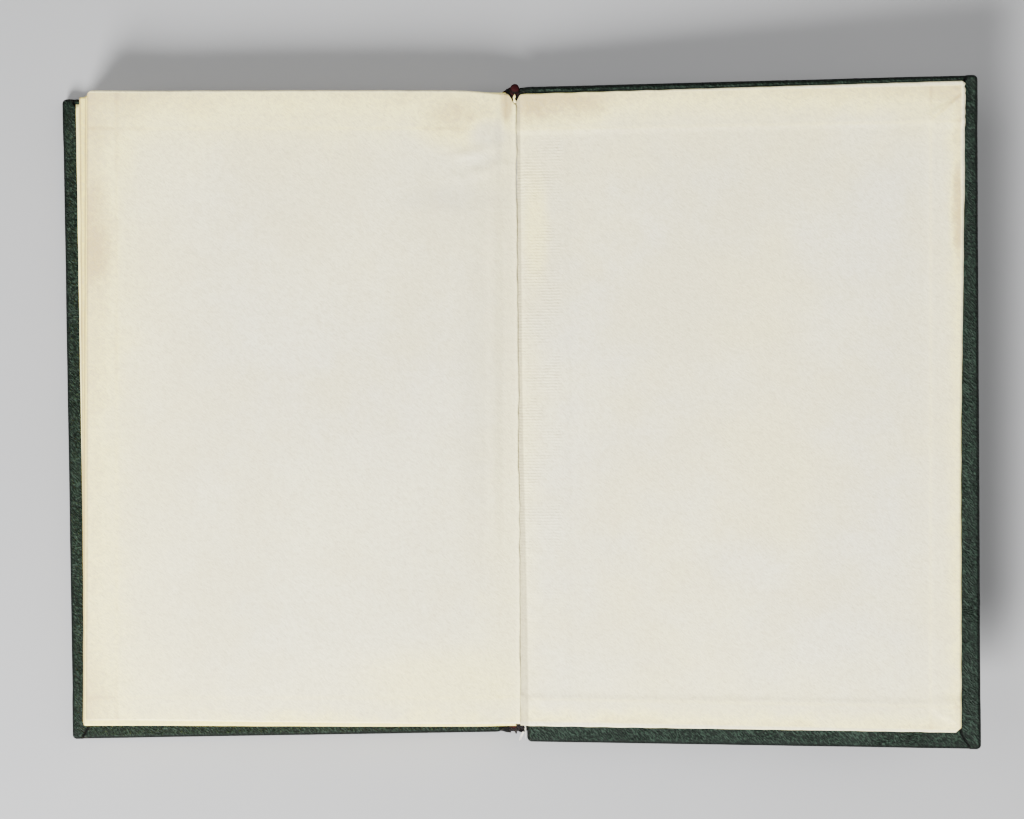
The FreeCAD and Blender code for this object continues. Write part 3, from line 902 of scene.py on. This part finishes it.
def flyleafRelief(x, y, v):
    # the top leaf's own creases: a fold by the gutter, a crumpled mend near the head, a lifted corner
    away, down = gutter - x, flyleafHigh.y - y
    fold = smoothStep(abs(away - creases["foldAway"]), 0.0010, 0.0) * smoothStep(-down, -0.020, -0.002)
    band = smoothStep(abs(away - creases["bandAway"]), 0.0034, 0.0)
    band *= smoothStep(v, 0.90, 0.74) * smoothStep(v, 0.2, 0.4)
    reachX = (away - creases["patchAway"]) / creases["patchWide"]
    reachY = (creases["patchDown"] - down) / creases["patchTall"]
    patch = smoothStep(math.hypot(reachX, reachY), 1.0, 0.2)
    rays = max(math.sin((0.018 - down) * 900 + away * 260) * 0.5 + wander(x, y, 0.0040, 3) + 0.4, 0)
    corner = smoothStep(x, flyleafLow.x + creases["cornerReach"], flyleafLow.x) * smoothStep(v, 0.3, 0.0)
    lip = leafShape["lip"] * smoothStep(crackX(y) - x, 0.0014, 0.0)
    raised = creases["fold"] * fold + creases["band"] * band + creases["patch"] * patch * rays
    return raised + creases["corner"] * corner + lip


leafLifts = {"last_leaf_upper": 1.0, "last_leaf_lower": 0.45, "back_flyleaf": 2.0}
leafSlides = {"last_leaf_upper": 0.7, "last_leaf_lower": 1.0, "front_flyleaf": 1.0, "back_flyleaf": 0.0}
leafWaver = dict(fore=0.00022, foreSize=0.012, spine=0.00020, spineSize=0.004, spineInset=0.0003,
                 ends=0.00010, endSize=0.010, headDrop=0.0010, dropReach=0.022, ripple=0.00008,
                 rippleSize=0.030, liftReach=0.022)


def buildLeaf(name, node, material, thick, shift, seed, cuts=()):
    # shift moves the fore edge in x and y and slants it; cuts are corners: side, end, width, height
    low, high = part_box(node)
    top = node == "back_flyleaf"
    swing = leafShape["flyleafTurn"] if top else leafShape["leafTurn"]

    def spot(u, v):
        y = low.y + v * (high.y - low.y) + shift[1]
        foreWaver = leafWaver["fore"] * wander(0, y, leafWaver["foreSize"], seed)
        spineWaver = leafWaver["spine"] * wander(0, y, leafWaver["spineSize"], seed + 2)
        leftX = low.x + shift[0] + foreWaver + shift[2] * (0.5 - v)
        rightX = crackX(y) if top else high.x - leafWaver["spineInset"] + spineWaver
        x = leftX + u * (rightX - leftX)
        y += leafWaver["ends"] * wander(x, 0, leafWaver["endSize"], seed + 3) * abs(2 * v - 1)
        y -= leafWaver["headDrop"] * smoothStep(x, gutter - leafWaver["dropReach"], gutter) * v
        y += swing * (1 - v) * max((gutter - x) / (gutter - low.x), 0.0)
        y -= turned(x, v) * leafSlides[node]
        for side, end, wide, tall in cuts:
            cornerX = leftX if side == "fore" else rightX
            wide = wide if side == "fore" else -wide
            cornerY = high.y + shift[1] if end == "head" else low.y + shift[1]
            x, y = cutCorner(x, y, cornerX, cornerY, wide, -tall if end == "head" else tall)
        return x, y

    def level(x, y, u, v):
        lift = leafShape["foreLift"] * leafLifts.get(node, 0.0)
        lift *= smoothStep(x, low.x + leafWaver["liftReach"], low.x)
        ripple = leafWaver["ripple"] * wander(x, y, leafWaver["rippleSize"], seed)
        ripple *= smoothStep(gutter - x, 0.002, 0.02)
        return high.z + archRise(x, high.z) + ripple + lift + (flyleafRelief(x, y, v) if top else 0.0)

    points, faces = sheetParts(spot, level, spread(150, 0.55), spread(190, 0.45), thick)
    piece = makeMesh(name, points, faces, material)
    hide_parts(node)
    if node == "front_flyleaf":
        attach(piece, node)
    else:
        gutter + leafShape["hingeOut"]
        gutter + leafShape["hingeIn"]
        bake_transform(piece)


leafSteps = [0, 0.01, 0.03, 0.08, 0.16, 0.26, 0.36, 0.46, 0.56, 0.66, 0.76, 0.84, 0.90, 0.94, 0.97, 0.99]


def foldedSheet(low, high, folio, dice):
    # one sheet folded once: an upper leaf, a round fold at the back, and a lower leaf
    folios = leafShape["folios"]
    sheet = leafShape["sheet"]
    centre = (low.z + high.z) / 2
    half = (high.z - low.z - sheet) / 2 * (folio + 0.72) / folios
    backX = high.x - 0.0002 - leafShape["backStep"] * (folios - 1 - folio) / folios
    nested = 0.00015 * (folios - folio)
    foreUpper = low.x + dice.uniform(-1, 1) * leafShape["jog"] - nested
    foreLower = low.x + dice.uniform(-1, 1) * leafShape["jog"] - nested
    bend = min(half, leafShape["foldRadius"])
    straightEnd = backX - 2 * leafShape["foldRadius"]
    line = [(foreUpper + share * (straightEnd - foreUpper), half) for share in leafSteps]
    line += [(backX - bend + bend * math.sin(math.pi * step / 8), half * math.cos(math.pi * step / 8))
             for step in range(9)]
    line += [(foreLower + share * (straightEnd - foreLower), -half) for share in reversed(leafSteps)]
    middle = (low.y + high.y) / 2
    tail = low.y + dice.uniform(0, 1) * leafShape["trim"]
    head = high.y - dice.uniform(0, 1) * leafShape["trim"]

    def spot(x, offset, share):
        y = tail + share * (head - tail) + 0.00008 * wander(x, share, 0.02, folio)
        level = centre + offset
        x += foreSkew(x, y, level, middle) + 0.00007 * wander(folio, y, 0.01, low.z * 900)
        x, y = cutCorner(x, y, high.x, head, -leafShape["notchWide"], -leafShape["notchTall"])
        return x, y - turned(x, share), level + archRise(x, level)

    stations = [*spread(14)[:-1], 1 - leafShape["notchTall"] / (head - tail), 1]
    return strip(line, sheet, stations, spot)


def strip(line, thick, shares, spot):
    # a thick line of (a, b) points swept along shares; spot(a, b, share) gives each point's place
    outer, inner = [], []
    for index, (a, b) in enumerate(line):
        before, after = line[max(index - 1, 0)], line[min(index + 1, len(line) - 1)]
        run = Vector((after[0] - before[0], after[1] - before[1])).normalized()
        outer.append((a - run.y * thick / 2, b + run.x * thick / 2))
        inner.append((a + run.y * thick / 2, b - run.x * thick / 2))
    loop = outer + inner[::-1]
    around = len(loop)
    points = [spot(a, b, share) for share in shares for a, b in loop]
    faces = []
    for station in range(len(shares) - 1):
        for here in range(around):
            a, b = station * around + here, station * around + (here + 1) % around
            faces.append([a, a + around, b + around, b])
    final = (len(shares) - 1) * around
    for here in range(len(line) - 1):
        corners = [here, here + 1, around - 2 - here, around - 1 - here]
        faces.append(corners)
        faces.append([final + corner for corner in reversed(corners)])
    return points, faces


def rounded(line, pieces=4, passes=3):
    # a line of corners, divided and eased into a curve that keeps its ends
    dense = []
    for (a0, b0), (a1, b1) in zip(line, line[1:]):
        dense += [(a0 + (a1 - a0) * step / pieces, b0 + (b1 - b0) * step / pieces) for step in range(pieces)]
    dense.append(line[-1])
    for _ in range(passes):
        eased = [((a[0] + 2 * b[0] + c[0]) / 4, (a[1] + 2 * b[1] + c[1]) / 4)
                 for a, b, c in zip(dense, dense[1:], dense[2:])]
        dense = [dense[0], *eased, dense[-1]]
    return dense


def buildSection(number, dice):
    node = f"section_{number}"
    low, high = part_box(node)
    parts = [foldedSheet(low, high, folio, dice) for folio in range(leafShape["folios"])]
    piece = joinParts(f"section{number}Leaves", parts, edgePaper if number % 2 else leafPaper, smooth=False)
    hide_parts(node)
    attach(piece, node if number <= 4 else "text_block")


def leafEdges(node, shift):
    # where a leaf's edges lie, for the painted shade line of its finish
    low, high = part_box(node)
    return low.x + shift[0], shift[2] / (high.y - low.y), low.y + shift[1], high.y + shift[1]


print("stage: leaves")
dice = random.Random(11)
for number in range(1, 9):
    buildSection(number, dice)

leafShifts = dict(lower=(-0.0017, -0.0005, 0.0016), upper=(-0.0009, -0.0007, -0.0006),
                  front=(-0.0004, 0, 0.0034), top=(0.0, 0.0, -0.0002))
leafTones = dict(lower=0.85, upper=0.60)
leafCuts = dict(lower=[("fore", "head", 0.0004, 0.0004)],
                upper=[("fore", "tail", 0.0010, 0.0012), ("fore", "head", 0.0008, 0.0006)],
                top=[("fore", "head", 0.0014, 0.0010), ("fore", "tail", 0.0018, 0.0016)])
notch = ("spine", "head", leafShape["notchWide"], leafShape["notchTall"])
thin = leafShape["thin"]
lowerPaper = pageMaterial("lastLeafPaperLower", leafTones["lower"],
                          leafEdges("last_leaf_lower", leafShifts["lower"]))
upperPaper = pageMaterial("lastLeafPaperUpper", leafTones["upper"],
                          leafEdges("last_leaf_upper", leafShifts["upper"]))
buildLeaf("frontFlyleaf", "front_flyleaf", edgePaper, thin, leafShifts["front"], 21)
buildLeaf("lastLeafLower", "last_leaf_lower", lowerPaper, thin, leafShifts["lower"], 31,
          cuts=[*leafCuts["lower"], notch])
buildLeaf("lastLeafUpper", "last_leaf_upper", upperPaper, thin, leafShifts["upper"], 41,
          cuts=[*leafCuts["upper"], notch])
buildLeaf("backFlyleaf", "back_flyleaf", flyleafPaper, leafShape["endpaper"], leafShifts["top"], 51,
          cuts=[*leafCuts["top"], notch])

spineShape = dict(clothThick=0.00042, clothOut=0.00240, cardThick=0.0008, cardOut=0.0018, liningThick=0.0003,
                  liningOut=0.0006, capOut=0.00112, capLong=0.011, tail=-0.1043, head=0.1076, inset=0.0009,
                  endDrop=0.0003)
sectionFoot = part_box("section_5")[1]
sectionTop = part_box("section_8")[1]
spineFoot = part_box("spine_cloth")[0].z
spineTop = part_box("spine_cloth")[1].z


def leanX(z):
    # the back of the leaning text block at a level
    return sectionTop.x + (z - sectionTop.z) * (sectionTop.x - sectionFoot.x) / (sectionTop.z - sectionFoot.z)


def spineStrip(name, line, thick, material, node):
    # a line of (y, distance behind the block) carried up the leaning spine
    def spot(y, out, share):
        z = spineFoot + share * (spineTop - spineFoot - spineShape["endDrop"])
        belly = 0.00012 * math.sin(math.pi * share) + 0.00006 * wander(y, z, 0.012, 3)
        return leanX(z) + out + belly, y + 0.00008 * wander(z, y, 0.003, 4), z

    piece = joinParts(name, [strip(line, thick, spread(14), spot)], material)
    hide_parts(node)
    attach(piece, "text_block")


def buildSpine():
    shape = spineShape
    tail, head, out, inner = shape["tail"], shape["head"], shape["clothOut"], shape["capOut"]
    wrap = [(head - shape["capLong"], inner), (head - 0.0003, inner), (head, (inner + out) / 2),
            (head - 0.0003, out), (tail + 0.0003, out), (tail, (inner + out) / 2), (tail + 0.0003, inner),
            (tail + shape["capLong"], inner)]
    spineStrip("spineCloth", rounded(wrap, 12, 2), shape["clothThick"], jointCloth, "spine_cloth")
    inset = shape["inset"]
    card = [(head - inset, shape["cardOut"]), (tail + inset, shape["cardOut"])]
    spineStrip("spineCard", rounded(card, 30, 0), shape["cardThick"] * 0.9, greyboard, "spine_card")
    lining = [(head - inset * 2, shape["liningOut"]), (tail + inset * 2, shape["liningOut"])]
    spineStrip("spineLining", rounded(lining, 30, 0), shape["liningThick"] * 0.9, kraft, "spine_lining")


bandShape = dict(radius=0.00095, bulgeWide=0.00052, bulgeDeep=0.00085, pitch=3, lean=0.00080, headTop=0.0129,
                 tailTop=0.0123, headY=0.1082, tailY=-0.1026, stations=96, around=20, tailSize=0.8,
                 swellFrom=0.0022, swellTo=0.0009, tailSwell=0.35, ridge=0.07, lump=0.16, inset=0.0005)


def buildBand(name, node, top, bandY):
    # an end band: a core wound with thread, its upper end swollen and bent over the leaves
    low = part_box(node)[0]
    sign = 1 if bandY > 0 else -1
    radius = bandShape["radius"] * (1 if sign > 0 else bandShape["tailSize"])
    stations, around = bandShape["stations"], bandShape["around"]
    points, faces = [], []
    for station in range(stations):
        share = station / (stations - 1)
        z = low.z + share * (top - low.z)
        swell = smoothStep(z, top - bandShape["swellFrom"], top - bandShape["swellTo"])
        swell *= 1 if sign > 0 else bandShape["tailSwell"]
        ridge = 1 + bandShape["ridge"] * math.sin(station * 2 * math.pi / bandShape["pitch"])
        close = math.sqrt(max(1 - max((share - 0.955) / 0.046, 0) ** 2, 0.0025)) * min(1.0, 0.5 + share * 12)
        middle = bandY - sign * bandShape["lean"] * swell
        for step in range(around):
            angle = 2 * math.pi * step / around
            lump = wander(math.cos(angle), math.sin(angle) + z * 400, 0.9, sign)
            lump = 1 + bandShape["lump"] * swell * lump
            wide = (radius + bandShape["bulgeWide"] * swell) * ridge * close * lump
            deep = (radius + bandShape["bulgeDeep"] * swell) * ridge * close * lump
            x = leanX(z) - bandShape["inset"] + wide * math.cos(angle)
            points.append((x, middle + deep * math.sin(angle), z))
    for station in range(stations - 1):
        for here in range(around):
            a, b = station * around + here, station * around + (here + 1) % around
            faces.append([a, b, b + around, a + around])
    faces.append(list(range(around))[::-1])
    faces.append([(stations - 1) * around + step for step in range(around)])
    piece = makeMesh(name, points, faces, bandFinish)
    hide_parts(node)
    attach(piece, "text_block")


spineEnds = dict(
    spineEndTail=dict(tail=-0.1046, head=-0.0990, slant=0.0011, left=-0.0007, wide=0.0034),
    spineEndHead=dict(tail=0.1005, head=0.1082, slant=0, left=-0.0036, wide=0.0063))
endPatch = dict(ragged=0.00022, under=0.00006, turnDown=0.0010, uneven=0.00004, thick=0.00022)


def buildSpineEnd(name, tail, head, slant, left, wide):
    # the spine cloth turned in over one end of the card and the lining
    def spot(u, v):
        ragged = endPatch["ragged"] * wander(u * 0.0030, 0, 0.0006, tail * 90)
        y = tail + v * (head - tail) + (slant * u + ragged) * (1 - v if tail < 0 else v)
        return gutter + left + u * wide, y

    def top(x, y, u, v):
        edge = (1 - v) if tail < 0 else v
        uneven = endPatch["uneven"] * wander(x, y, 0.001, 3)
        return spineTop - endPatch["under"] - endPatch["turnDown"] * smoothStep(edge, 0.80, 1.0) ** 2 + uneven

    points, faces = sheetParts(spot, top, spread(16), spread(24, 0.4), endPatch["thick"])
    piece = makeMesh(name, points, faces, jointCloth)
    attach(piece, "text_block")


jointShape = dict(thick=0.0004, gap=0.0003, waver=0.00008, waverSize=0.012, ends=0.00010, endSize=0.002,
                  edgeDown=0.0007, underX=0.010, underZ=0.00022, reach=0.0038, shorter=0.0006)


def jointStrip(name, line, tail, head, material, seed):
    def spot(x, z, share):
        y = tail + share * (head - tail)
        push = jointShape["waver"] * wander(y, x, jointShape["waverSize"], seed)
        y += jointShape["ends"] * wander(x, z, jointShape["endSize"], seed + 1)
        return x + push, y, z + push * 0.5

    return joinParts(name, [strip(rounded(line), jointShape["thick"], spread(80, 0.5), spot)], material)


def buildBackJoint():
    # cloth from the outside of the spine, round the groove, onto the outside of the back board
    shape = jointShape
    spineOut = leanX(spineTop) + spineShape["clothOut"] + shape["gap"]
    edge = backPlace @ Vector((backLow.x, 0, backHigh.z - shape["edgeDown"]))
    corner = backPlace @ Vector((backLow.x, 0, backLow.z))
    under = backPlace @ Vector((backLow.x + shape["underX"], 0, backLow.z - shape["underZ"]))
    line = [(spineOut - 0.0012, spineTop - 0.0040), (spineOut - 0.0003, spineTop - 0.0012),
            (spineOut - 0.0001, spineTop - 0.0002), (edge.x - 0.0003, edge.z - 0.0006),
            (corner.x - 0.0005, corner.z + 0.0008), (corner.x + 0.0010, corner.z - 0.0003),
            (under.x, under.z)]
    piece = jointStrip("backJointCloth", line, spineShape["tail"], spineShape["head"], jointCloth, 7)
    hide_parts("back_joint_cloth")
    spineOut - 0.0002
    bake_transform(piece)


jointPatch = dict(left=0.0008, wide=0.0046, tail=0.1030, tall=0.0050, slant=0.0002, under=0.00022,
                  turnDown=0.0006, uneven=0.00005, thick=0.00036)


def buildJointTurnIn():
    # the joint cloth's end turned in at the head, seen between the spine and the back board
    pasteTop = localBox("back_pastedown", backPlace)[1].z
    patch = jointPatch

    def spot(u, v):
        x = patch["left"] + u * patch["wide"]
        return x, patch["tail"] + v * patch["tall"] - patch["slant"] * (1 - u)

    def top(x, y, u, v):
        level = pasteLevel(x, y, pasteTop) - patch["under"]
        uneven = patch["uneven"] * wander(x, y, 0.0012, 5)
        return level - patch["turnDown"] * smoothStep(v, 0.82, 1.0) ** 2 + uneven

    points, faces = sheetParts(spot, top, spread(16), spread(18), patch["thick"])
    piece = makeMesh("backJointTurnIn", points, faces, backCloth)
    piece.data.transform(backFrame)
    acrossHinge(piece)


def buildFrontJoint():
    # cloth from the front board to the hinge line, and from there up to the foot of the spine
    low, high = frontLow, frontHigh
    inner = high.x + jointShape["reach"]
    line = [(inner, high.z), (inner - 0.0012, high.z - 0.0004), (high.x + 0.0010, high.z - 0.0010),
            (high.x + 0.0005, low.z + 0.0007), (high.x - 0.0012, low.z + 0.0002),
            (high.x - 0.010, low.z + 0.0002)]

    def spot(x, z, share):
        y = low.y - 0.0001 + share * (high.y - low.y - jointShape["shorter"])
        place = frontPlace @ Vector((x, y, z))
        reach = smoothStep(x, high.x + 0.0006, inner)
        hingeEnd = (frontPlace @ Vector((inner, y, z))).x
        place.x += (frontHinge.x - hingeEnd) * reach
        place.x += jointShape["waver"] * wander(y, x, jointShape["waverSize"], 9)
        return place.x, place.y + 0.0006 * reach * share, place.z

    cloth = strip(rounded(line), jointShape["thick"], spread(80, 0.5), spot)
    piece = joinParts("frontJointCloth", [cloth], jointCloth)
    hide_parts("front_joint_cloth")
    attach(piece, "front_cover")
    out = spineShape["clothOut"] + jointShape["gap"]
    foot = [(frontHinge.x, high.z - 0.0001), (frontHinge.x + 0.0012, high.z - 0.0002),
            (leanX(spineFoot) + out + 0.0007, spineFoot - 0.0001), (leanX(0.0048) + out + 0.0001, 0.0048),
            (leanX(0.0062) + out - 0.0001, 0.0062)]
    lower = jointStrip("spineFootCloth", foot, -0.1064, 0.1074, jointCloth, 15)
    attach(lower, "text_block")


def threadTube(points, radius):
    # a thin tapering tube along a few points
    around = 6
    places, faces = [], []
    for index, point in enumerate(points):
        before, after = points[max(index - 1, 0)], points[min(index + 1, len(points) - 1)]
        run = (after - before).normalized()
        side = run.cross(Vector((0, 0, 1))).normalized()
        up = side.cross(run)
        size = radius * (1 - 0.6 * index / (len(points) - 1))
        for step in range(around):
            angle = 2 * math.pi * step / around
            places.append(tuple(point + (side * math.cos(angle) + up * math.sin(angle)) * size))
    for ring in range(len(points) - 1):
        for step in range(around):
            a, b = ring * around + step, ring * around + (step + 1) % around
            faces.append([a, b, b + around, a + around])
    faces.append(list(range(around))[::-1])
    faces.append([(len(points) - 1) * around + step for step in range(around)])
    return places, faces


frayShape = dict(count=8, radius=0.00013, startX=0.0027, startY=-0.1019, startZ=0.0121)


def buildFrays(dice):
    # frayed thread ends where the joint cloth has torn away at the tail
    parts = []
    for strand in range(frayShape["count"]):
        start = Vector((gutter + frayShape["startX"] + dice.uniform(-1, 1) * 0.00022, frayShape["startY"],
                        frayShape["startZ"]))
        length = dice.uniform(0.0030, 0.0062)
        lean = -length * dice.uniform(0.16, 0.36) if strand < 6 else length * dice.uniform(0.0, 0.12)
        curl = dice.uniform(-0.00022, 0.00022)
        line = [start + Vector((lean * share ** 1.3 + curl * math.sin(share * 5.0), -length * share,
                                -0.0012 * share + 0.00015 * math.sin(share * 4 + strand)))
                for share in spread(11)]
        parts.append(threadTube(line, frayShape["radius"]))
    piece = joinParts("jointFrays", parts, threadFinish)
    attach(piece, "text_block")


chipShape = dict(left=-0.0015, wide=0.0010, taper=0.0006, lean=0.0006, tail=0.1030, tall=0.0031, slant=0.35,
                 raggedX=0.00018, raggedY=0.00012, level=0.01235, arch=0.0016, rise=0.0004, curl=0.0003)


def buildChip():
    # a torn scrap of the endpaper left standing in the notch at the head
    chip = chipShape

    def spot(u, v):
        x = gutter + chip["left"] + u * (chip["wide"] - chip["taper"] * v) + chip["raggedX"] * math.sin(v * 7)
        y = chip["tail"] + v * chip["tall"] * (1 - chip["slant"] * u) + chip["raggedY"] * math.sin(u * 9)
        return x + chip["lean"] * v, y

    def top(x, y, u, v):
        curl = chip["curl"] * math.sin(u * 3)
        return chip["level"] + chip["arch"] * v * (1 - v) + (chip["rise"] + curl) * v

    points, faces = sheetParts(spot, top, spread(8), spread(14), leafShape["endpaper"])
    piece = makeMesh("endpaperChip", points, faces, flyleafPaper)
    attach(piece, "text_block")


print("stage: spine and joints")
buildSpine()
for name, place in spineEnds.items():
    buildSpineEnd(name, **place)
buildBand("headBand", "headband", bandShape["headTop"], bandShape["headY"])
buildBand("tailBand", "tailband", bandShape["tailTop"], bandShape["tailY"])
buildBackJoint()
buildJointTurnIn()
buildFrontJoint()
buildFrays(dice)
buildChip()

studio = dict(floor=3.0, cameraHeight=0.428, cameraX=gutter - 0.00165, cameraY=0.0021,
              focal=44.3, sensor=36.0, sky=0.15)
lamps = dict(
    keySoft=dict(place=(-0.36, -0.92, 0.62), size=0.45, power=69.0),
    fillSoft=dict(place=(0.75, 0.25, 0.75), size=0.80, power=9.0),
    sideSoft=dict(place=(-0.75, 0.15, 0.70), size=0.80, power=10.0))


def buildStudio():
    half = studio["floor"]
    corners = [(-half, -half, -0.00005), (half, -half, -0.00005), (half, half, -0.00005),
               (-half, half, -0.00005)]
    makeMesh("studioFloor", corners, [[0, 1, 2, 3]], floorMaterial(), smooth=False)
    aim = Vector((gutter, 0, 0))
    for name, lamp in lamps.items():
        light = bpy.data.lights.new(name, "AREA")
        light.size, light.energy = lamp["size"], lamp["power"]
        holder = bpy.data.objects.new(name, light)
        holder.location = lamp["place"]
        holder.rotation_euler = (aim - Vector(lamp["place"])).to_track_quat("-Z", "Y").to_euler()
        bpy.context.scene.collection.objects.link(holder)
    world = bpy.data.worlds.new("studioWorld")
    world.use_nodes = True
    background = world.node_tree.nodes["Background"]
    background.inputs["Color"].default_value = (0.96, 0.98, 1.0, 1)
    background.inputs["Strength"].default_value = studio["sky"]
    bpy.context.scene.world = world
    lens = bpy.data.cameras.new("studioCamera")
    lens.sensor_width, lens.lens = studio["sensor"], studio["focal"]
    camera = bpy.data.objects.new("studioCamera", lens)
    camera.location = (studio["cameraX"], studio["cameraY"], studio["cameraHeight"])
    bpy.context.scene.collection.objects.link(camera)
    bpy.context.scene.camera = camera


print("stage: studio")
buildStudio()
